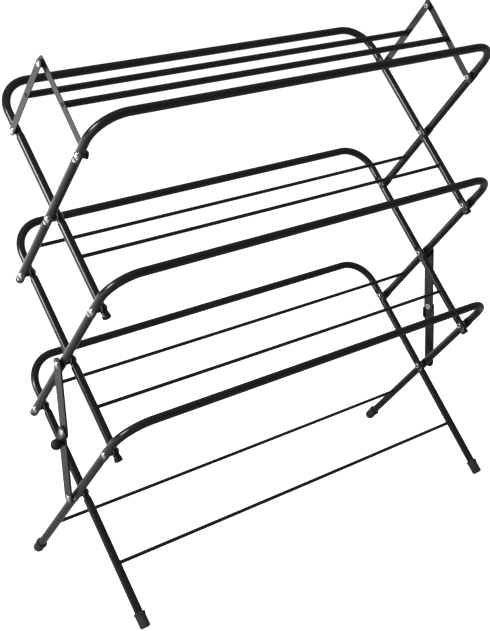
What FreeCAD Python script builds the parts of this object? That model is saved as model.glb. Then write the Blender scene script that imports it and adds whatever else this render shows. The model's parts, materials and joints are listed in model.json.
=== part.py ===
import FreeCAD, Part
import Sketcher
import os
import math

# Folding clothes drying rack: three scissor tiers of U-shaped tube frames with a hinged roof.
# +Z up, X along the rails, front is -Y, floor at Z = 0. Sizes in mm and degrees.

os.makedirs("parts", exist_ok=True)
doc = FreeCAD.newDocument("DryingRack")
sheet = doc.addObject("Spreadsheet::Sheet", "Sizes")

driving = [
    ("frameWidth", 728.0, "outer legs, centre to centre"),
    ("legSpacing", 14.5, "outer leg plane to inner leg plane"),
    ("tubeSize", 12.0, "frame tube diameter"),
    ("tubeWall", 1.0, "frame tube wall"),
    ("bendRadius", 48.0, "rail corner radius on the centreline"),
    ("halfAngle", 42.95, "leg angle from upright, locked open"),
    ("armLength", 146.7, "scissor pivot to side pivot along a leg"),
    ("roofArm", 143.0, "top scissor pivot to strip pivot, and strip pivot to apex"),
    ("railReach", 77.3, "side pivot to rail centreline along the leg"),
    ("roofRailReach", 77.7, "strip pivot to rail centreline, top frames"),
    ("tailReach", 16.5, "side pivot to the plugged end of the leg"),
    ("footReach", 218.0, "lowest scissor pivot to the end of a foot"),
    ("crimpThick", 6.5, "flattened tube thickness at a pivot"),
    ("crimpWidth", 15.0, "flattened tube width at a pivot"),
    ("crimpFlat", 15.0, "length of the flattened face"),
    ("crimpRamp", 3.5, "run-out from flat to round"),
    ("wireSize", 5.4, "thin hanging wire diameter"),
    ("outerWireTop", 72.0, "pivot to wire, top outer frame"),
    ("innerWireTop", 67.0, "pivot to wire, top inner frame"),
    ("outerWireMiddle", 73.0, "pivot to wire, middle outer frame"),
    ("innerWireMiddle", 78.0, "pivot to wire, middle inner frame"),
    ("outerWireBottom", 110.0, "pivot to wire, bottom outer frame"),
    ("innerWireBottom", 117.0, "pivot to wire, bottom inner frame"),
    ("rodSize", 9.4, "roof rod diameter"),
    ("frontRodReach", 76.0, "strip pivot to front roof rod"),
    ("rearRodReach", 78.0, "strip pivot to rear roof rod"),
    ("stripWidth", 12.0, "roof strip width"),
    ("stripThick", 1.5, "roof strip thickness"),
    ("rearStripOut", 8.0, "inner leg plane to rear strip centre"),
    ("frontStripIn", 10.0, "outer leg plane to front strip centre at its lower pivot"),
    ("apexOffset", 6.5, "rear strip centre to front strip centre at the apex"),
    ("stripLand", 12.0, "flat end of a bent strip"),
    ("stripLowEnd", 7.5, "lower strip pivot to the strip end"),
    ("rearStripEnd", 8.5, "apex to the rear strip end"),
    ("frontStripEnd", 11.0, "apex to the front strip end"),
    ("rivetSize", 5.0, "rivet shank diameter"),
    ("runningPlay", 0.05, "radial clearance of a turning hole on its rivet"),
    ("facePlay", 0.1, "axial clearance beside a turning piece"),
    ("headSize", 11.4, "formed head diameter"),
    ("headHeight", 3.4, "formed head height"),
    ("tailSize", 10.4, "rolled tail diameter"),
    ("tailHeight", 2.8, "rolled tail height"),
    ("tailBore", 3.6, "rolled tail bore diameter"),
    ("smallHeadSize", 7.0, "strip and hinge rivet head diameter"),
    ("smallHeadHeight", 1.8, "strip and hinge rivet head height"),
    ("spacerSize", 11.0, "spacer outside diameter"),
    ("rodRivetSize", 3.0, "rod end rivet shank diameter"),
    ("rodRivetHead", 5.6, "rod end rivet head diameter"),
    ("rodRivetDepth", 8.0, "rod end rivet depth in the rod"),
    ("braceWidth", 20.0, "brace link width"),
    ("braceThick", 3.0, "brace link thickness"),
    ("braceStand", 4.15, "outer leg flat to upper brace link"),
    ("braceGap", 0.2, "gap between the two brace links"),
    ("hingeTail", 0.9, "hinge rivet tail height on the leg side"),
    ("footStubGap", 0.4, "gap from the bottom pivot head to the brace foot spacer"),
    ("tabThick", 3.0, "stop tab thickness"),
    ("tabPlay", 0.3, "stop tab to upper link edge"),
    ("tabBelow", 24.0, "stop tab below the hinge"),
    ("knobSize", 17.0, "ball knob diameter"),
    ("knobReach", 10.0, "link face to ball centre"),
    ("knobDrop", 15.0, "hinge to knob along the lower link"),
    ("knobNeck", 9.0, "knob neck diameter"),
    ("knobStud", 4.0, "knob stud diameter"),
    ("footSize", 16.5, "foot cap diameter"),
    ("footLength", 24.0, "foot cap length"),
    ("footSole", 4.0, "tube end to the end of the foot"),
    ("footChamfer", 2.0, "foot cap end chamfer"),
    ("footLip", 1.0, "raised lip round the foot mouth"),
    ("soleTrim", 1.3, "depth of the flat worn where the foot meets the floor"),
    ("plugFlange", 3.0, "end plug head thickness"),
    ("plugSize", 12.8, "end plug head diameter"),
    ("plugShank", 2.4, "end plug depth in the tube"),
]


class Size:
    """A number with the sheet formula that gives it."""

    def __init__(self, value, formula):
        self.value = float(value)
        self.formula = formula

    def __add__(self, other):
        other = sized(other)
        return Size(self.value + other.value, "(" + self.formula + " + " + other.formula + ")")

    def __sub__(self, other):
        other = sized(other)
        return Size(self.value - other.value, "(" + self.formula + " - " + other.formula + ")")

    def __mul__(self, other):
        other = sized(other)
        return Size(self.value * other.value, "(" + self.formula + " * " + other.formula + ")")

    def __truediv__(self, other):
        other = sized(other)
        return Size(self.value / other.value, "(" + self.formula + " / " + other.formula + ")")

    def __neg__(self):
        return Size(-self.value, "(0 - " + self.formula + ")")


def sized(number):
    if isinstance(number, Size):
        return number
    return Size(number, repr(float(number)))


def sinOf(angle):
    return Size(math.sin(math.radians(angle.value)), "sin(" + angle.formula + " * 1 deg)")


def cosOf(angle):
    return Size(math.cos(math.radians(angle.value)), "cos(" + angle.formula + " * 1 deg)")


class Sheet:
    pass


s = Sheet()
for row, (alias, number, note) in enumerate(driving, start=1):
    sheet.set("A%d" % row, alias)
    sheet.set("B%d" % row, repr(number))
    sheet.set("C%d" % row, note)
    sheet.setAlias("B%d" % row, alias)
    setattr(s, alias, Size(number, "Sizes." + alias))
doc.recompute()

zero = Size(0.0, "0")
nodes = []

# Derived positions, all measured from the rack's own mid plane.
sinA = sinOf(s.halfAngle)
cosA = cosOf(s.halfAngle)
outerX = s.frameWidth / 2
innerX = outerX - s.legSpacing
tubeRadius = s.tubeSize / 2
halfCrimp = s.crimpThick / 2
outerFlat = outerX + halfCrimp
outerBack = outerX - halfCrimp
innerFlat = innerX + halfCrimp
innerBack = innerX - halfCrimp
shankRadius = s.rivetSize / 2
turnRadius = shankRadius + s.runningPlay
tierRise = s.armLength * cosA * 2
bottomZ = s.footReach * cosA + (s.footSize / 2 - s.footChamfer) * sinA - s.soleTrim
middleZ = bottomZ + tierRise
topZ = middleZ + tierRise
apexZ = topZ + s.roofArm * cosA * 2
sideY = s.armLength * sinA
roofY = s.roofArm * sinA
roofZ = topZ + s.roofArm * cosA
rearStripX = innerX + s.rearStripOut
frontLowX = outerX - s.frontStripIn
halfStrip = s.stripThick / 2
upperIn = outerFlat + s.braceStand
upperOut = upperIn + s.braceThick
lowerIn = upperOut + s.braceGap
lowerOut = lowerIn + s.braceThick
linkLength = tierRise / 2
knobOut = lowerOut + s.knobReach + s.knobSize / 2
headOut = lowerOut + s.smallHeadHeight
midShift = (knobOut - headOut) / 2      # centres the whole outline on X = 0
tiltOuter = s.halfAngle
tiltInner = -s.halfAngle


def newBody(name, y=zero, z=zero, tilt=zero):
    body = doc.addObject("PartDesign::Body", name)
    body.Label = name
    body.AllowCompound = True
    rotation = FreeCAD.Rotation(FreeCAD.Vector(1, 0, 0), tilt.value if tilt.value else 0.0)
    body.Placement = FreeCAD.Placement(FreeCAD.Vector(midShift.value, y.value, z.value), rotation)
    body.setExpression("Placement.Base.x", midShift.formula)
    if y is not zero:
        body.setExpression("Placement.Base.y", y.formula)
    if z is not zero:
        body.setExpression("Placement.Base.z", z.formula)
    if tilt is not zero:
        body.setExpression("Placement.Rotation.Angle", tilt.formula + " * 1 deg")
    nodes.append(body)
    return body


def originPlane(body, role):
    for item in body.Origin.OriginFeatures:
        if item.Role == role:
            return item
    return None


def newSketch(body, name, role, offset=None):
    sketch = body.newObject("Sketcher::SketchObject", body.Name + name)
    sketch.AttachmentSupport = [(originPlane(body, role), "")]
    sketch.MapMode = "FlatFace"
    if offset is not None:
        sketch.AttachmentOffset = FreeCAD.Placement(FreeCAD.Vector(0, 0, offset.value), FreeCAD.Rotation())
        sketch.setExpression("AttachmentOffset.Base.z", offset.formula)
    return sketch


def bind(sketch, kind, geo, pos, value):
    row = sketch.addConstraint(Sketcher.Constraint(kind, -1, 1, geo, pos, value.value))
    sketch.setExpression("Constraints[%d]" % row, value.formula)


def pin(sketch, geo, pos, u, v):
    if u is zero:
        sketch.addConstraint(Sketcher.Constraint("PointOnObject", geo, pos, -2))
    else:
        bind(sketch, "DistanceX", geo, pos, u)
    if v is zero:
        sketch.addConstraint(Sketcher.Constraint("PointOnObject", geo, pos, -1))
    else:
        bind(sketch, "DistanceY", geo, pos, v)


def vec(u, v):
    return FreeCAD.Vector(u.value, v.value, 0)


def polygon(sketch, points):
    """Closed outline; a point (u, v, centreU, centreV) starts an anticlockwise arc about that centre."""
    first = None
    last = None
    count = len(points)
    for i in range(count):
        a = points[i]
        b = points[(i + 1) % count]
        if len(a) == 2:
            geo = sketch.addGeometry(Part.LineSegment(vec(a[0], a[1]), vec(b[0], b[1])), False)
            start, end = 1, 2
        else:
            centre = vec(a[2], a[3])
            turn = a[4]
            one = vec(a[0], a[1]) - centre
            two = vec(b[0], b[1]) - centre
            angleOne = math.atan2(one.y, one.x)
            angleTwo = math.atan2(two.y, two.x)
            circle = Part.Circle(centre, FreeCAD.Vector(0, 0, 1), one.Length)
            if turn > 0:
                if angleTwo < angleOne:
                    angleTwo += 2 * math.pi
                geo = sketch.addGeometry(Part.ArcOfCircle(circle, angleOne, angleTwo), False)
                start, end = 1, 2
            else:
                if angleOne < angleTwo:
                    angleOne += 2 * math.pi
                geo = sketch.addGeometry(Part.ArcOfCircle(circle, angleTwo, angleOne), False)
                start, end = 2, 1
            if a[5] == "u":
                if a[2] is zero:
                    sketch.addConstraint(Sketcher.Constraint("PointOnObject", geo, 3, -2))
                else:
                    bind(sketch, "DistanceX", geo, 3, a[2])
            else:
                if a[3] is zero:
                    sketch.addConstraint(Sketcher.Constraint("PointOnObject", geo, 3, -1))
                else:
                    bind(sketch, "DistanceY", geo, 3, a[3])
        pin(sketch, geo, start, a[0], a[1])
        if last is not None:
            sketch.addConstraint(Sketcher.Constraint("Coincident", last[0], last[1], geo, start))
        else:
            first = (geo, start)
        last = (geo, end)
    sketch.addConstraint(Sketcher.Constraint("Coincident", last[0], last[1], first[0], first[1]))


def circle(sketch, u, v, radius):
    geo = sketch.addGeometry(Part.Circle(vec(u, v), FreeCAD.Vector(0, 0, 1), radius.value), False)
    pin(sketch, geo, 3, u, v)
    row = sketch.addConstraint(Sketcher.Constraint("Radius", geo, radius.value))
    sketch.setExpression("Constraints[%d]" % row, radius.formula)


def stadium(sketch, u, lowV, highV, lowEnd, highEnd, halfWidth):
    """Slot outline along v whose rounded ends pass lowEnd below lowV and highEnd above highV."""
    a = highV + highEnd - halfWidth
    b = lowV - lowEnd + halfWidth
    polygon(sketch, [
        (u - halfWidth, b, u, b, 1, "v"),
        (u + halfWidth, b),
        (u + halfWidth, a, u, a, 1, "v"),
        (u - halfWidth, a),
    ])


def pad(body, sketch, length, midplane=False, backwards=False):
    feature = body.newObject("PartDesign::Pad", sketch.Name + "Pad")
    feature.Profile = sketch
    feature.Length = length.value
    feature.setExpression("Length", length.formula)
    if midplane:
        feature.SideType = "Symmetric"
    feature.Reversed = backwards
    sketch.Visibility = False
    return feature


def cut(body, sketch, reach):
    """Cuts both ways from the sketch plane."""
    feature = body.newObject("PartDesign::Pocket", sketch.Name + "Cut")
    feature.Profile = sketch
    feature.Length = reach.value
    feature.setExpression("Length", reach.formula)
    feature.SideType = "Symmetric"
    sketch.Visibility = False
    return feature


def turned(body, sketch):
    feature = body.newObject("PartDesign::Revolution", sketch.Name + "Turn")
    feature.Profile = sketch
    feature.ReferenceAxis = (sketch, ["H_Axis"])
    feature.Angle = 360.0
    sketch.Visibility = False
    return feature


def mirrored(body, features):
    feature = body.newObject("PartDesign::Mirrored", body.Name + "Mirror%d" % len(body.Group))
    feature.Originals = features
    feature.MirrorPlane = (originPlane(body, "YZ_Plane"), [""])
    body.Tip = feature
    return feature


# ---- U-shaped tube frames -------------------------------------------------------------------

def tubeFrame(name, legX, tubeEnd, railAt, pivots, looseHoles, z, tilt):
    """legs at +-legX, lower ends at -tubeEnd, rail centreline at railAt, crimped at each pivot height."""
    body = newBody(name, z=z, tilt=tilt)
    ring = newSketch(body, "Ring", "XY_Plane", -tubeEnd)
    circle(ring, -legX, zero, tubeRadius)
    circle(ring, -legX, zero, tubeRadius - s.tubeWall)
    path = newSketch(body, "Path", "XZ_Plane")
    corner = railAt - s.bendRadius
    inset = legX - s.bendRadius
    geoA = path.addGeometry(Part.LineSegment(vec(-legX, -tubeEnd), vec(-legX, corner)), False)
    bendA = Part.Circle(vec(-inset, corner), FreeCAD.Vector(0, 0, 1), s.bendRadius.value)
    arcA = path.addGeometry(Part.ArcOfCircle(bendA, math.pi / 2, math.pi), False)
    geoB = path.addGeometry(Part.LineSegment(vec(-inset, railAt), vec(inset, railAt)), False)
    bendB = Part.Circle(vec(inset, corner), FreeCAD.Vector(0, 0, 1), s.bendRadius.value)
    arcB = path.addGeometry(Part.ArcOfCircle(bendB, 0.0, math.pi / 2), False)
    geoC = path.addGeometry(Part.LineSegment(vec(legX, corner), vec(legX, -tubeEnd)), False)
    pin(path, geoA, 1, -legX, -tubeEnd)
    pin(path, geoA, 2, -legX, corner)
    pin(path, geoB, 1, -inset, railAt)
    pin(path, geoB, 2, inset, railAt)
    pin(path, geoC, 1, legX, corner)
    pin(path, geoC, 2, legX, -tubeEnd)
    path.addConstraint(Sketcher.Constraint("Coincident", geoA, 2, arcA, 2))
    path.addConstraint(Sketcher.Constraint("Coincident", arcA, 1, geoB, 1))
    path.addConstraint(Sketcher.Constraint("Coincident", geoB, 2, arcB, 2))
    path.addConstraint(Sketcher.Constraint("Coincident", arcB, 1, geoC, 1))
    bind(path, "DistanceX", arcA, 3, -inset)
    bind(path, "DistanceX", arcB, 3, inset)
    doc.recompute()
    tube = body.newObject("PartDesign::AdditivePipe", name + "Tube")
    tube.Profile = ring
    tube.Spine = (path, ["Edge1", "Edge2", "Edge3", "Edge4", "Edge5"])
    ring.Visibility = False
    path.Visibility = False
    doc.recompute()
    squash = newSketch(body, "Squash", "XZ_Plane")
    deep = tubeRadius + 2
    half = s.crimpFlat / 2
    run = half + s.crimpRamp + (deep - tubeRadius) * 1.0
    for side in (-1.0, 1.0):
        for face in (-1.0, 1.0):
            for at in pivots:
                near = legX * side + halfCrimp * face
                far = legX * side + deep * face
                shape = [(near, at - half), (near, at + half), (far, at + run), (far, at - run)]
                polygon(squash, shape)
    cut(body, squash, s.tubeSize * 2)
    plate = newSketch(body, "Plate", "YZ_Plane", legX)
    wide = s.crimpWidth / 2
    ends = half + s.crimpRamp
    for at in pivots:
        polygon(plate, [
            (wide, at - half), (wide, at + half), (tubeRadius, at + ends), (-tubeRadius, at + ends),
            (-wide, at + half), (-wide, at - half), (-tubeRadius, at - ends), (tubeRadius, at - ends),
        ])
    crimp = pad(body, plate, s.crimpThick, midplane=True)
    doc.recompute()
    mirrored(body, [crimp])
    doc.recompute()
    holes = newSketch(body, "Holes", "YZ_Plane")
    for at in pivots:
        circle(holes, zero, at, turnRadius if at in looseHoles else shankRadius)
    last = cut(body, holes, s.frameWidth * 2)
    body.Tip = last
    doc.recompute()
    return body


outerEnd = s.armLength + s.tailReach - s.plugFlange
footTube = s.footReach - s.footSole
railAt = s.armLength + s.railReach
railTop = s.roofArm + s.roofRailReach
atPivot = zero + 0
atLow = -s.armLength
atHigh = s.armLength + 0
atRoof = s.roofArm + 0

tubeFrame("outer_frame_top", outerX, outerEnd, railTop, [atPivot, atLow, atRoof], [], topZ, tiltOuter)
tubeFrame("outer_frame_middle", outerX, outerEnd, railAt, [atPivot, atLow, atHigh], [], middleZ, tiltOuter)
tubeFrame("outer_frame_bottom", outerX, footTube, railAt, [atPivot, atHigh], [], bottomZ, tiltOuter)
tubeFrame("inner_frame_top", innerX, outerEnd, railTop, [atPivot, atLow, atRoof], [atPivot, atLow],
          topZ, tiltInner)
tubeFrame("inner_frame_middle", innerX, outerEnd, railAt, [atPivot, atLow, atHigh], [atPivot, atLow, atHigh],
          middleZ, tiltInner)
tubeFrame("inner_frame_bottom", innerX, footTube, railAt, [atPivot, atHigh], [atPivot, atHigh],
          bottomZ, tiltInner)


# ---- thin wires, coped onto the legs -----------------------------------------------------------

def legWire(name, legX, reach, z, tilt):
    body = newBody(name, z=z, tilt=tilt)
    end = newSketch(body, "End", "YZ_Plane")
    circle(end, zero, -reach, s.wireSize / 2)
    pad(body, end, legX * 2, midplane=True)
    doc.recompute()
    cope = newSketch(body, "Cope", "XY_Plane")
    circle(cope, -legX, zero, tubeRadius)
    circle(cope, legX, zero, tubeRadius)
    body.Tip = cut(body, cope, reach * 4)
    doc.recompute()


legWire("outer_wire_top", outerX, s.outerWireTop, topZ, tiltOuter)
legWire("outer_wire_middle", outerX, s.outerWireMiddle, middleZ, tiltOuter)
legWire("outer_wire_bottom", outerX, s.outerWireBottom, bottomZ, tiltOuter)
legWire("inner_wire_top", innerX, s.innerWireTop, topZ, tiltInner)
legWire("inner_wire_middle", innerX, s.innerWireMiddle, middleZ, tiltInner)
legWire("inner_wire_bottom", innerX, s.innerWireBottom, bottomZ, tiltInner)


# ---- feet and end plugs ------------------------------------------------------------------------

def foot(name, legX, tilt, leanSign):
    body = newBody(name, z=bottomZ, tilt=tilt)
    section = newSketch(body, "Section", "XZ_Plane")
    bottom = -s.footReach
    rim = bottom + s.footLength
    wall = s.footSize / 2
    polygon(section, [
        (legX, bottom),
        (legX + wall - s.footChamfer, bottom),
        (legX + wall, bottom + s.footChamfer * 1.25),
        (legX + wall, rim - 4.5),
        (legX + wall + s.footLip, rim - 3.5),
        (legX + wall + s.footLip, rim - 1.0),
        (legX + tubeRadius + 1.2, rim),
        (legX + tubeRadius, rim),
        (legX + tubeRadius, bottom + s.footSole),
        (legX, bottom + s.footSole),
    ])
    axisLine = section.addGeometry(Part.LineSegment(vec(legX, bottom - 5.0), vec(legX, rim + 5.0)), True)
    pin(section, axisLine, 1, legX, bottom - 5.0)
    pin(section, axisLine, 2, legX, rim + 5.0)
    turn = body.newObject("PartDesign::Revolution", section.Name + "Turn")
    turn.Profile = section
    turn.ReferenceAxis = (section, ["Axis0"])
    turn.Angle = 360.0
    section.Visibility = False
    doc.recompute()
    floor = newSketch(body, "Floor", "YZ_Plane")
    wide = s.footSize * 2
    drop = sinA / cosA * wide
    level = -(bottomZ / cosA)
    lean = leanSign
    polygon(floor, [
        (wide, level - drop * lean),
        (-wide, level + drop * lean),
        (-wide, level - drop * 3),
        (wide, level - drop * 3),
    ])
    body.Tip = cut(body, floor, s.frameWidth * 2)
    doc.recompute()


foot("outer_foot_left", -outerX, tiltOuter, 1.0)
foot("outer_foot_right", outerX, tiltOuter, 1.0)
foot("inner_foot_left", -innerX, tiltInner, -1.0)
foot("inner_foot_right", innerX, tiltInner, -1.0)


def plugs(name, legX, z, tilt):
    body = newBody(name, z=z, tilt=tilt)
    section = newSketch(body, "Section", "XZ_Plane")
    bottom = -(s.armLength + s.tailReach)
    mouth = bottom + s.plugFlange
    wall = s.plugSize / 2
    polygon(section, [
        (legX, bottom),
        (legX + wall - 1.2, bottom),
        (legX + wall, bottom + 1.2),
        (legX + wall, mouth),
        (legX + tubeRadius - s.tubeWall, mouth),
        (legX + tubeRadius - s.tubeWall, mouth + s.plugShank),
        (legX, mouth + s.plugShank),
    ])
    axisLine = section.addGeometry(Part.LineSegment(vec(legX, bottom - 5.0), vec(legX, mouth + 9.0)), True)
    pin(section, axisLine, 1, legX, bottom - 5.0)
    pin(section, axisLine, 2, legX, mouth + 9.0)
    turn = body.newObject("PartDesign::Revolution", section.Name + "Turn")
    turn.Profile = section
    turn.ReferenceAxis = (section, ["Axis0"])
    turn.Angle = 360.0
    section.Visibility = False
    doc.recompute()
    mirrored(body, [turn])
    doc.recompute()


plugs("outer_plugs_top", outerX, topZ, tiltOuter)
plugs("outer_plugs_middle", outerX, middleZ, tiltOuter)
plugs("inner_plugs_top", innerX, topZ, tiltInner)
plugs("inner_plugs_middle", innerX, middleZ, tiltInner)


# ---- roof strips and rods ----------------------------------------------------------------------

def strip(name, side, lowX, highX, highEnd, y, tilt, rodReach, looseLow, looseHigh):
    """Flat strip along local Z from its lower pivot at 0 to the apex at roofArm."""
    body = newBody(name, y=y, z=roofZ, tilt=tilt)
    bend = newSketch(body, "Bend", "XZ_Plane")
    low = lowX * side
    high = highX * side
    start = -s.stripLowEnd
    finish = s.roofArm + highEnd
    landOne = s.stripLand + 0
    landTwo = s.roofArm - s.stripLand
    if lowX is highX:
        polygon(bend, [
            (low - halfStrip, start), (low + halfStrip, start),
            (low + halfStrip, finish), (low - halfStrip, finish),
        ])
    else:
        polygon(bend, [
            (low - halfStrip, start), (low + halfStrip, start),
            (low + halfStrip, landOne), (high + halfStrip, landTwo),
            (high + halfStrip, finish), (high - halfStrip, finish),
            (high - halfStrip, landTwo), (low - halfStrip, landOne),
        ])
    pad(body, bend, s.stripWidth, midplane=True)
    doc.recompute()
    outline = newSketch(body, "Outline", "YZ_Plane")
    far = s.stripWidth * 2
    polygon(outline, [(-far, start - far), (far, start - far), (far, finish + far), (-far, finish + far)])
    stadium(outline, zero, zero + 0, s.roofArm, s.stripLowEnd, highEnd, s.stripWidth / 2)
    cut(body, outline, s.frameWidth * 2)
    doc.recompute()
    holes = newSketch(body, "Holes", "YZ_Plane")
    circle(holes, zero, zero, turnRadius if looseLow else shankRadius)
    circle(holes, zero, s.roofArm, turnRadius if looseHigh else shankRadius)
    circle(holes, zero, rodReach, s.rodRivetSize / 2)
    body.Tip = cut(body, holes, s.frameWidth * 2)
    doc.recompute()


frontHighLeft = rearStripX - s.apexOffset
frontHighRight = rearStripX + s.apexOffset
strip("front_strip_left", -1.0, frontLowX, frontHighLeft, s.frontStripEnd, -roofY, tiltInner,
      s.frontRodReach, True, True)
strip("front_strip_right", 1.0, frontLowX, frontHighRight, s.frontStripEnd, -roofY, tiltInner,
      s.frontRodReach, True, True)
strip("rear_strip_left", -1.0, rearStripX, rearStripX, s.rearStripEnd, roofY, tiltOuter,
      s.rearRodReach, True, False)
strip("rear_strip_right", 1.0, rearStripX, rearStripX, s.rearStripEnd, roofY, tiltOuter,
      s.rearRodReach, True, False)

landSpan = s.roofArm - s.stripLand * 2
rodShare = (s.frontRodReach - s.stripLand) / landSpan


def roofRod(name, leftEnd, rightEnd, y, tilt, reach, leftSlope, rightSlope):
    """Round rod whose ends meet the inner faces of its two strips."""
    body = newBody(name, y=y, z=roofZ, tilt=tilt)
    end = newSketch(body, "End", "YZ_Plane")
    circle(end, zero, reach, s.rodSize / 2)
    pad(body, end, s.frameWidth, midplane=True)
    doc.recompute()
    trim = newSketch(body, "Trim", "XZ_Plane")
    rise = s.rodSize + 0
    far = s.frameWidth * 0.6
    polygon(trim, [
        (rightEnd - rightSlope * rise, reach - rise), (far, reach - rise), (far, reach + rise),
        (rightEnd + rightSlope * rise, reach + rise),
    ])
    polygon(trim, [
        (-leftEnd + leftSlope * rise, reach - rise), (-leftEnd - leftSlope * rise, reach + rise),
        (-far, reach + rise), (-far, reach - rise),
    ])
    cut(body, trim, s.rodSize * 4)
    doc.recompute()
    drill = newSketch(body, "Drill", "XZ_Plane")
    small = s.rodRivetSize / 2
    section = [
        (rightEnd + 3.0, reach), (rightEnd + 3.0, reach + small), (rightEnd - s.rodRivetDepth, reach + small),
        (rightEnd - s.rodRivetDepth, reach),
    ]
    polygon(drill, section)
    polygon(drill, [
        (-leftEnd - 3.0, reach), (-leftEnd - 3.0, reach + small), (-leftEnd + s.rodRivetDepth, reach + small),
        (-leftEnd + s.rodRivetDepth, reach),
    ])
    axisLine = drill.addGeometry(Part.LineSegment(vec(-far, reach), vec(far, reach)), True)
    pin(drill, axisLine, 1, -far, reach)
    pin(drill, axisLine, 2, far, reach)
    bore = body.newObject("PartDesign::Groove", name + "Bore")
    bore.Profile = drill
    bore.ReferenceAxis = (drill, ["Axis0"])
    bore.Angle = 360.0
    drill.Visibility = False
    body.Tip = bore
    doc.recompute()


leftSlope = (frontHighLeft - frontLowX) / landSpan
rightSlope = (frontHighRight - frontLowX) / landSpan
leftFront = frontLowX + (frontHighLeft - frontLowX) * rodShare
rightFront = frontLowX + (frontHighRight - frontLowX) * rodShare
roofRod("front_roof_rod", leftFront - halfStrip, rightFront - halfStrip, -roofY, tiltInner, s.frontRodReach,
        leftSlope, rightSlope)
roofRod("rear_roof_rod", rearStripX - halfStrip, rearStripX - halfStrip, roofY, tiltOuter, s.rearRodReach,
        zero, zero)


# ---- rivets ------------------------------------------------------------------------------------

def rivetSection(body, name, side, inside, outside, radius, headRadius, headHeight, tailRadius, tailHeight,
                 boreRadius):
    """Half section along X: domed head beyond outside, rolled tail with an open bore inside of inside."""
    section = newSketch(body, name, "XZ_Plane")
    rim = headHeight * 0.4
    crown = headHeight - rim
    ball = (crown * crown + headRadius * headRadius) / (crown * 2)
    tip = outside + headHeight
    lip = tailHeight * 0.45
    outline = [
        ((outside + rim) * side, headRadius),
        (outside * side, headRadius),
        (outside * side, radius),
        (inside * side, radius),
        (inside * side, tailRadius),
        ((inside - lip) * side, tailRadius),
        ((inside - tailHeight) * side, tailRadius - tailHeight * 0.55),
        ((inside - tailHeight) * side, boreRadius + 0.25),
        ((inside - tailHeight + 0.25) * side, boreRadius),
        ((inside - tailHeight + 3.6) * side, boreRadius),
        ((inside - tailHeight + 4.4) * side, zero),
        (tip * side, zero, (tip - ball) * side, zero, side, "v"),
    ]
    polygon(section, outline)
    return section


def bigRivets(name, y, z, tilt, inside, outside):
    body = newBody(name, y=y, z=z, tilt=tilt)
    section = rivetSection(body, "Section", 1.0, inside, outside, shankRadius, s.headSize / 2, s.headHeight,
                           s.tailSize / 2, s.tailHeight, s.tailBore / 2)
    turn = turned(body, section)
    doc.recompute()
    mirrored(body, [turn])
    doc.recompute()
    return body


tailSeat = innerBack - s.facePlay
lowY = sideY * 1.0
topSideZ = topZ - s.armLength * cosA
middleSideZ = middleZ - s.armLength * cosA
bigRivets("pivot_rivets_top", zero, topZ, tiltOuter, tailSeat, outerFlat)
bigRivets("pivot_rivets_middle", zero, middleZ, tiltOuter, tailSeat, upperOut + s.facePlay)
bigRivets("pivot_rivets_bottom", zero, bottomZ, tiltOuter, tailSeat, outerFlat)
bigRivets("rear_rivets_upper", lowY, topSideZ, tiltOuter, tailSeat, outerFlat)
bigRivets("rear_rivets_lower", lowY, middleSideZ, tiltOuter, tailSeat, outerFlat)
bigRivets("front_rivets_upper", -lowY, topSideZ, tiltOuter, tailSeat, outerFlat)
bigRivets("front_rivets_lower", -lowY, middleSideZ, tiltOuter, tailSeat, outerFlat)
bigRivets("front_strip_rivets", -roofY, roofZ, tiltOuter, frontLowX - halfStrip - s.facePlay, outerFlat)


def smallRivets(name, y, z, tilt, leftPair, rightPair, tailHeight=None):
    """Left and right rivets given as (inside, outside) distances from the mid plane."""
    body = newBody(name, y=y, z=z, tilt=tilt)
    tall = s.smallHeadHeight if tailHeight is None else tailHeight
    big = s.smallHeadSize / 2 + 1.2
    one = rivetSection(body, "Left", -1.0, leftPair[0], leftPair[1], shankRadius, big, s.smallHeadHeight,
                       big - 0.4, tall, s.tailBore / 2)
    turned(body, one)
    doc.recompute()
    two = rivetSection(body, "Right", 1.0, rightPair[0], rightPair[1], shankRadius, big, s.smallHeadHeight,
                       big - 0.4, tall, s.tailBore / 2)
    body.Tip = turned(body, two)
    doc.recompute()


rearPair = (tailSeat + s.facePlay, rearStripX + halfStrip + s.facePlay)
smallRivets("rear_strip_rivets", roofY, roofZ, tiltInner, rearPair, rearPair)
smallRivets("apex_rivets", zero, apexZ, tiltOuter,
            (frontHighLeft - halfStrip - s.facePlay, rearStripX + halfStrip),
            (rearStripX - halfStrip, frontHighRight + halfStrip + s.facePlay))
hingeZ = bottomZ + linkLength


def hingeRivet(name, side):
    """Brace hinge rivet: domed head outside, flat thin tail on the leg side."""
    body = newBody(name, z=hingeZ)
    section = newSketch(body, "Section", "XZ_Plane")
    inside = upperIn - s.facePlay
    outside = lowerOut
    headRadius = s.headSize / 2
    rim = s.smallHeadHeight * 0.4
    crown = s.smallHeadHeight - rim
    ball = (crown * crown + headRadius * headRadius) / (crown * 2)
    tip = outside + s.smallHeadHeight
    tailRadius = s.tailSize / 2
    polygon(section, [
        ((outside + rim) * side, headRadius),
        (outside * side, headRadius),
        (outside * side, shankRadius),
        (inside * side, shankRadius),
        (inside * side, tailRadius),
        ((inside - s.hingeTail * 0.5) * side, tailRadius),
        ((inside - s.hingeTail) * side, tailRadius - 0.5),
        ((inside - s.hingeTail) * side, s.tailBore / 2),
        ((inside + 1.0) * side, s.tailBore / 2),
        ((inside + 1.6) * side, zero),
        (tip * side, zero, (tip - ball) * side, zero, side, "v"),
    ])
    body.Tip = turned(body, section)
    doc.recompute()


hingeRivet("brace_hinge_rivet_left", -1.0)
hingeRivet("brace_hinge_rivet_right", 1.0)
stubIn = outerFlat + s.headHeight + s.footStubGap


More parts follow.
